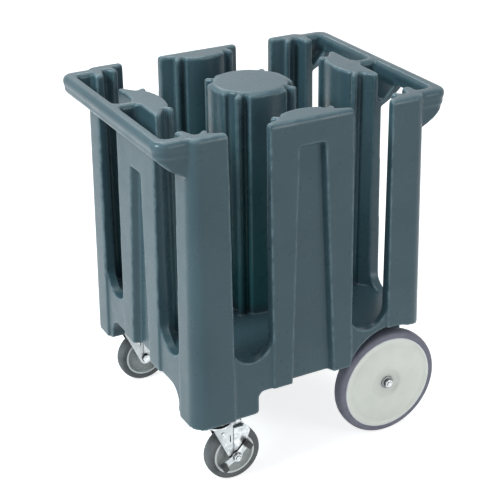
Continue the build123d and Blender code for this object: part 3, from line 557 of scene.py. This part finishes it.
def zinc_plate(name, scale, rough, tone=ZINC, cloud_tone=ZINC_CLOUD, edge_tone=ZINC_BRIGHT):
    """Bright zinc plating: cloudy patches, brushed streaks, bright rubbed edges and painted shade in
    corners.
    """
    finish, tree, shader = new_finish(name)
    point = object_point(tree)
    shader.inputs["Metallic"].default_value = 1.0
    cloud = spread(tree, noise(tree, point, 60.0 * scale, 5.0, 0.6), 0.35, 0.68)
    colour = blended(tree, cloud, tone, cloud_tone)
    colour = blended(tree, wear_and_highlight_at(tree, point, 120.0), colour, edge_tone)
    # painted shade: corners and creases are darkened by ambient occlusion
    corner = tree.nodes.new("ShaderNodeAmbientOcclusion")
    corner.samples = 8
    corner.inputs["Distance"].default_value = CORNER_REACH
    corner_shade = spread(tree, corner.outputs["AO"], 0.45, 0.92, 1.0, 0.0)
    colour = blended(tree, corner_shade, colour, ZINC_CORNER_SHADE)
    tree.links.new(colour, shader.inputs["Base Color"])
    streak = tree.nodes.new("ShaderNodeMapping")
    streak.inputs["Scale"].default_value = (1.0, 1.0, 0.12)
    tree.links.new(point, streak.inputs["Vector"])
    lines = noise(tree, streak.outputs["Vector"], 900.0 * scale, 3.0)
    uneven_gloss(tree, shader, lines, rough - 0.06, rough + 0.08)
    bumped(tree, shader, lines, 0.00008, 0.25)
    return finish


zinc = zinc_plate("zinc_plate", 1.0, 0.30)
bright_zinc = zinc_plate("bright_fastener", 2.0, 0.20)
dull_zinc = zinc_plate("dull_washer", 1.0, 0.42, ZINC_DULL, ZINC_DARK, ZINC_DULL)
refinish(zinc, "axle", "axle_straps", "spacer_washers", "strap_inserts", "plate_inserts", "thrust_washers")
refinish(bright_zinc, "strap_bolts", "kingpin_nuts")


def hex_nut(name, centre, face, out, flats, height, hole):
    """A hexagon nut on a Y axis, from its seat outwards, with domed corners and a chamfered hole."""
    x, z = centre
    bpy.ops.object.select_all(action="DESELECT")
    bpy.ops.mesh.primitive_cylinder_add(
        vertices=6, radius=flats / math.sqrt(3.0), depth=height,
        location=(x, face + out * height / 2, z), rotation=(math.pi / 2, 0.0, 0.0),
    )
    nut = bpy.context.object
    nut.name = name
    bpy.ops.object.transform_apply(location=True, rotation=True, scale=True)
    bpy.ops.object.mode_set(mode="EDIT")
    bpy.ops.mesh.select_all(action="SELECT")
    bpy.ops.mesh.subdivide(number_cuts=1)
    bpy.ops.object.mode_set(mode="OBJECT")
    finish_with(nut, "BEVEL", width=NUT_BEVEL, segments=2, limit_method="ANGLE", angle_limit=BEVEL_ANGLE)
    top_face = face + out * height
    under = face - out * 0.001
    dome = turned_ring(name + "_dome", [
        (AXIS_GAP, under), (flats, under), (flats, face + out * height * DOME_FROM),
        (flats * 0.575, face + out * height * DOME_BEND), (flats * 0.495, top_face),
        (AXIS_GAP, top_face), (AXIS_GAP, under),
    ], centre, NUT_SEGMENTS)
    under = face - out * 0.002
    over = face + out * (height + 0.0002)
    bore = turned_ring(name + "_bore", [
        (AXIS_GAP, under), (hole, under), (hole, face + out * (height - 0.0008)),
        (hole + NUT_CHAMFER, over), (AXIS_GAP, over), (AXIS_GAP, under),
    ], centre, NUT_SEGMENTS)
    finish_with(nut, "BOOLEAN", operation="INTERSECT", object=dome, solver="EXACT")
    finish_with(nut, "BOOLEAN", operation="DIFFERENCE", object=bore, solver="EXACT")
    bpy.data.objects.remove(dome)
    bpy.data.objects.remove(bore)
    only(nut)
    bpy.ops.object.shade_smooth_by_angle(angle=SHARP_ANGLE)
    return nut


def joined(name, pieces):
    """One piece made of several that belong to the same CAD node."""
    bpy.ops.object.select_all(action="DESELECT")
    for piece in pieces:
        piece.select_set(True)
    bpy.context.view_layer.objects.active = pieces[0]
    bpy.ops.object.join()
    pieces[0].name = name
    return pieces[0]


washer_low, washer_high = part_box("end_washers")
washer_face = washer_low.y
washer_back = washer_face + WASHER_THICK
washer_axis = ((washer_low.x + washer_high.x) / 2, (washer_low.z + washer_high.z) / 2)
washer = turned_ring("end_washer_left", [
    (STUD_HOLE, washer_back), (STUD_HOLE, washer_face + 0.0003), (STUD_HOLE + 0.0004, washer_face),
    (WASHER_RADIUS - 0.0012, washer_face), (WASHER_RADIUS - 0.0003, washer_face + 0.0006),
    (WASHER_RADIUS, washer_face + 0.0012), (WASHER_RADIUS, washer_back), (STUD_HOLE, washer_back),
], washer_axis, WASHER_SEGMENTS)
bpy.ops.object.shade_smooth_by_angle(angle=SHARP_ANGLE)
washers = joined("axle_end_washers", [washer, other_side(washer, "end_washer_right")])
washers.data.materials.append(dull_zinc)
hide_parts("end_washers")
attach(washers, "caddy")

nut_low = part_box("axle_nuts")[0]
axle_nut = hex_nut("axle_nut_left", washer_axis, nut_low.y + NUT_FACE, -1.0, NUT_AF, NUT_HEIGHT, STUD_HOLE)
axle_nuts = joined("axle_end_nuts", [axle_nut, other_side(axle_nut, "axle_nut_right")])
axle_nuts.data.materials.append(bright_zinc)
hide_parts("axle_nuts")
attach(axle_nuts, "caddy")

# The swivel casters: pressed and zinc-plated steel. A plate bolted under the leg carries a ball race,
# and the kingpin through its middle holds the fork, whose two legs are folded down beside the wheel.
PLATE_BEVEL = 0.0006
FORK_BEVEL = 0.0005
LEVER_BEVEL = 0.0004
SHOE_BEVEL = 0.0003
FLAT_ANGLE = math.radians(1.0)


def stamped(node, name, bevel):
    """A pressed part: a CAD node's shape with the small radius that the press leaves on its edges. Its
    flat triangles are merged back into whole faces first."""
    piece = same_shape(node, name)
    bpy.ops.object.mode_set(mode="EDIT")
    bpy.ops.mesh.select_all(action="SELECT")
    bpy.ops.mesh.dissolve_limited(angle_limit=FLAT_ANGLE)
    bpy.ops.object.mode_set(mode="OBJECT")
    finish_with(piece, "BEVEL", width=bevel, segments=2, limit_method="ANGLE",
                angle_limit=SHARP_ANGLE, use_clamp_overlap=True)
    bpy.ops.object.shade_smooth_by_angle(angle=BEVEL_ANGLE)
    return piece


for side in ("left", "right"):
    for node, name, bevel, body_name in (
        ("caster_plate_" + side, "top_plate_" + side, PLATE_BEVEL, "caddy"),
        ("caster_fork_" + side, "pressed_fork_" + side, FORK_BEVEL, "caster_fork_" + side),
        ("brake_lever_" + side, "rocker_lever_" + side, LEVER_BEVEL, "brake_lever_" + side),
        ("brake_shoe_" + side, "tyre_shoe_" + side, SHOE_BEVEL, "brake_shoe_" + side),
    ):
        piece = stamped(node, name, bevel)
        piece.data.materials.append(zinc)
        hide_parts(node)
        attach(piece, body_name)
refinish(bright_zinc, "plate_bolts", "kingpin_left", "kingpin_right", "shoe_pin_left", "shoe_pin_right")
refinish(zinc, "axle_sleeve_left", "axle_sleeve_right")

# The ball races: hard polished steel balls, smeared with grease, in a ring under each plate.
BALL_RADIUS = 0.003175
BALL_COUNT = 18
BALL_SHARE = 0.985      # a ball's drawn radius, so that it doesn't touch its race
STEEL = (0.560, 0.565, 0.570, 1.0)
GREASED = (0.260, 0.230, 0.170, 1.0)


def greased_steel():
    """Polished steel under smears of brown grease."""
    finish, tree, shader = new_finish("greased_steel")
    point = object_point(tree)
    shader.inputs["Metallic"].default_value = 1.0
    smear = spread(tree, noise(tree, point, 240.0, 4.0), 0.45, 0.70)
    tree.links.new(blended(tree, smear, STEEL, GREASED), shader.inputs["Base Color"])
    tree.links.new(spread(tree, smear, 0.0, 1.0, 0.12, 0.45), shader.inputs["Roughness"])
    bumped(tree, shader, noise(tree, point, 500.0, 2.0), 0.0001, 0.15)
    return finish


ball_steel = greased_steel()
for side in ("left", "right"):
    low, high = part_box("swivel_balls_" + side)
    centre = (low + high) / 2
    ring = (high.x - low.x) / 2 - BALL_RADIUS
    set_of_balls = []
    for number in range(BALL_COUNT):
        turn_angle = math.radians(360.0 / BALL_COUNT * number)
        x = centre.x + ring * math.cos(turn_angle)
        y = centre.y + ring * math.sin(turn_angle)
        bpy.ops.object.select_all(action="DESELECT")
        bpy.ops.mesh.primitive_uv_sphere_add(
            segments=20, ring_count=12, radius=BALL_RADIUS * BALL_SHARE, location=(x, y, centre.z)
        )
        bpy.ops.object.transform_apply(location=True, rotation=True, scale=True)
        set_of_balls.append(bpy.context.object)
    balls = joined("race_balls_" + side, set_of_balls)
    bpy.ops.object.shade_smooth()
    balls.data.materials.append(ball_steel)
    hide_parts("swivel_balls_" + side)
    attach(balls, "caddy")

# The caster wheels: a grey core whose lip carries a painted highlight, and a soft grey tread with rounded
# shoulders.
# Each turns on a nylon bush, on a bolt through the fork with a nut on the outer side.
CORE_GREY = (0.290, 0.298, 0.292, 1.0)
CORE_SPECK = (0.500, 0.510, 0.495, 1.0)
# painted highlight on the core's lip
CORE_LIP_HIGHLIGHT = (0.860, 0.865, 0.845, 1.0)
CASTER_RUBBER = (0.095, 0.098, 0.102, 1.0)
CASTER_DUSTY = (0.155, 0.158, 0.160, 1.0)
LIP_FROM = 0.0432
LIP_FADE = 0.0006
SMALL_SEGMENTS = 96
SMALL_BEVEL = 0.0005
CORE_BEVEL = 0.0003


def speckled_core(centre):
    """Grey core with a granular moulded face, and a painted highlight on its lip."""
    finish, tree, shader = new_finish("speckled_core")
    point = object_point(tree)
    speck = spread(tree, noise(tree, point, 520.0, 4.0, 0.7), 0.42, 0.62)
    colour = blended(tree, speck, CORE_GREY, CORE_SPECK)
    # painted highlight: a pale ring along the core's lip
    lip = spread(tree, distance_from_axle(tree, point, centre), LIP_FROM, LIP_FROM + LIP_FADE)
    colour = blended(tree, lip, colour, CORE_LIP_HIGHLIGHT)
    tree.links.new(colour, shader.inputs["Base Color"])
    tree.links.new(spread(tree, lip, 0.0, 1.0, 0.50, 0.28), shader.inputs["Roughness"])
    bumped(tree, shader, noise(tree, point, 650.0, 3.0), 0.0002, 0.35)
    return finish


small_axis, small_out, small_in = middle("caster_tyre_left")
core_axis, core_out, core_in = middle("caster_core_left")
core_radius = reach_of("caster_core_left")
core_bore = reach_of("caster_bush_left") + SEAT_GAP
small_profile = tread_profile(
    core_radius + SEAT_GAP, reach_of("caster_tyre_left"), (small_out, small_in),
    bead=0.0010, shoulder=0.0110, inset=0.0001, drop=0.0100, bend=0.60, share=0.99,
)
small_tyre = turned_ring("caster_tread_left", small_profile, small_axis, SMALL_SEGMENTS)
rounded(small_tyre, SMALL_BEVEL)
small_tyre.data.materials.append(grey_rubber("caster_rubber", CASTER_RUBBER, CASTER_DUSTY, 2.0))

# The core's section, the same on both sides: each radius, and its share of the core's half width.
core_half = (core_in - core_out) / 2
core_middle = (small_in + small_out) / 2
core_steps = [
    (core_bore, 1.0), (0.0140, 1.0), (0.0150, 0.965), (0.0158, 0.80), (0.0172, 0.66), (0.0200, 0.585),
    (0.0370, 0.585), (0.0395, 0.64), (0.0412, 0.76), (0.0425, 0.845), (0.0437, 0.872),
    (core_radius - 0.0014, 0.872), (core_radius - 0.0004, 0.850), (core_radius, 0.815),
]
core_profile = [(radius, core_middle - share * core_half) for radius, share in core_steps]
core_profile += [(radius, core_middle + share * core_half) for radius, share in reversed(core_steps)]
core_profile.append(core_profile[0])
small_core = turned_ring("caster_core_ring_left", core_profile, core_axis, SMALL_SEGMENTS)
rounded(small_core, CORE_BEVEL)
small_core.data.materials.append(speckled_core(core_axis))

for side in ("left", "right"):
    tread = small_tyre if side == "left" else other_side(small_tyre, "caster_tread_right")
    core = small_core if side == "left" else other_side(small_core, "caster_core_ring_right")
    for piece, node, name in (
        (tread, "caster_tyre", "caster_rubber"),
        (core, "caster_core", "core_plastic"),
    ):
        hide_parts(node + "_" + side)
        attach(piece, "caster_wheel_" + side)

nut_axis, nut_out, nut_in = middle("caster_axle_nut_left")
small_nut = hex_nut("wheel_nut_left", nut_axis, nut_in, -1.0, NUT_AF, nut_in - nut_out, STUD_HOLE)
for side in ("left", "right"):
    nut = small_nut if side == "left" else other_side(small_nut, "wheel_nut_right")
    if not nut.data.materials:
        nut.data.materials.append(bright_zinc)
    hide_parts("caster_axle_nut_" + side)
    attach(nut, "caster_fork_" + side)
refinish(bright_zinc, "caster_axle_left", "caster_axle_right")

# The brakes' foot tabs: black plastic blocks with round corners, pushed over the ends of each rocker
# lever. Pressing the upper one locks the wheel, the lower one frees it.
TAB_BLACK = (0.012, 0.012, 0.013, 1.0)
TAB_SCUFFED = (0.060, 0.060, 0.062, 1.0)
TAB_BEVEL = 0.0006


def black_foot_plastic():
    """Black plastic, scuffed grey by shoes."""
    finish, tree, shader = new_finish("black_foot_plastic")
    point = object_point(tree)
    scuff = spread(tree, noise(tree, point, 160.0, 6.0, 0.7), 0.50, 0.75)
    colour = blended(tree, scuff, TAB_BLACK, TAB_SCUFFED)
    tree.links.new(blended(tree, wear_and_highlight_at(tree, point, 200.0), colour, TAB_SCUFFED), shader.inputs["Base Color"])
    tree.links.new(spread(tree, scuff, 0.0, 1.0, 0.35, 0.60), shader.inputs["Roughness"])
    bumped(tree, shader, noise(tree, point, 800.0, 3.0), 0.0002, 0.3)
    return finish


foot_plastic = black_foot_plastic()
for side in ("left", "right"):
    tabs = stamped("brake_tabs_" + side, "foot_tabs_" + side, TAB_BEVEL)
    tabs.data.materials.append(foot_plastic)
    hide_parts("brake_tabs_" + side)
    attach(tabs, "brake_lever_" + side)

# The studio: a white paper floor without an edge, a large soft lamp high on the caster side that
# lights the end wall, a broad one overhead, a weak one at the front right and one behind.
PAPER = (0.75, 0.75, 0.75, 1.0)
PAPER_ROUGH = 0.9
PAPER_GLOW = 0.78
PAPER_SIZE = 16.0
ROOM_TINT = (0.86, 0.93, 1.0, 1.0)
ROOM_LIGHT = 0.25
WHITE = (1.0, 1.0, 1.0, 1.0)


def lamp(name, place, aim, size, power, colour):
    """A round area lamp that points at a place."""
    data = bpy.data.lights.new(name, "AREA")
    data.shape = "DISK"
    data.size = size
    data.energy = power
    data.color = colour
    item = bpy.data.objects.new(name, data)
    bpy.context.scene.collection.objects.link(item)
    item.location = place
    item.rotation_euler = (Vector(aim) - Vector(place)).to_track_quat("-Z", "Y").to_euler()


def seen_directly(tree):
    """1 for rays from the camera, a mirror or clear plastic, and 0 for the light that falls on things."""
    path = tree.nodes.new("ShaderNodeLightPath")
    first = maths(tree, "MAXIMUM", path.outputs["Is Camera Ray"], path.outputs["Is Glossy Ray"])
    return maths(tree, "MAXIMUM", first, path.outputs["Is Transmission Ray"])


lamp("key_lamp", (-2.4, -0.2, 2.6), (0.0, 0.0, 0.4), 1.3, 81.0, (0.80, 0.96, 1.0))
lamp("top_lamp", (0.2, 0.4, 3.6), (0.0, 0.0, 0.6), 2.0, 34.0, (0.92, 0.98, 1.0))
lamp("fill_lamp", (1.6, -3.2, 1.4), (0.0, 0.0, 0.4), 1.6, 33.0, (0.96, 0.99, 1.0))
lamp("back_lamp", (0.8, 3.0, 3.4), (0.0, 0.0, 0.4), 1.6, 26.0, (0.92, 0.98, 1.0))

world = bpy.data.worlds.new("studio_air")
bpy.context.scene.world = world
world.use_nodes = True
tree = world.node_tree
tree.nodes.clear()
ambient = tree.nodes.new("ShaderNodeBackground")
ambient.inputs["Color"].default_value = ROOM_TINT
ambient.inputs["Strength"].default_value = ROOM_LIGHT
seen = tree.nodes.new("ShaderNodeBackground")
seen.inputs["Color"].default_value = WHITE
seen.inputs["Strength"].default_value = 1.0
mix = tree.nodes.new("ShaderNodeMixShader")
out = tree.nodes.new("ShaderNodeOutputWorld")
tree.links.new(seen_directly(tree), mix.inputs["Fac"])
tree.links.new(ambient.outputs[0], mix.inputs[1])
tree.links.new(seen.outputs[0], mix.inputs[2])
tree.links.new(mix.outputs[0], out.inputs["Surface"])

bpy.ops.object.select_all(action="DESELECT")
bpy.ops.mesh.primitive_plane_add(size=PAPER_SIZE, location=(0.0, 0.0, 0.0))
floor = bpy.context.object
floor.name = "floor"
paper, tree, shader = new_finish("white_paper")
shader.inputs["Base Color"].default_value = PAPER
shader.inputs["Roughness"].default_value = PAPER_ROUGH
glow = tree.nodes.new("ShaderNodeEmission")
tree.links.new(maths(tree, "MULTIPLY", seen_directly(tree), PAPER_GLOW), glow.inputs["Strength"])
add = tree.nodes.new("ShaderNodeAddShader")
tree.links.new(shader.outputs[0], add.inputs[0])
tree.links.new(glow.outputs[0], add.inputs[1])
tree.links.new(add.outputs[0], tree.nodes["Material Output"].inputs["Surface"])
floor.data.materials.append(paper)
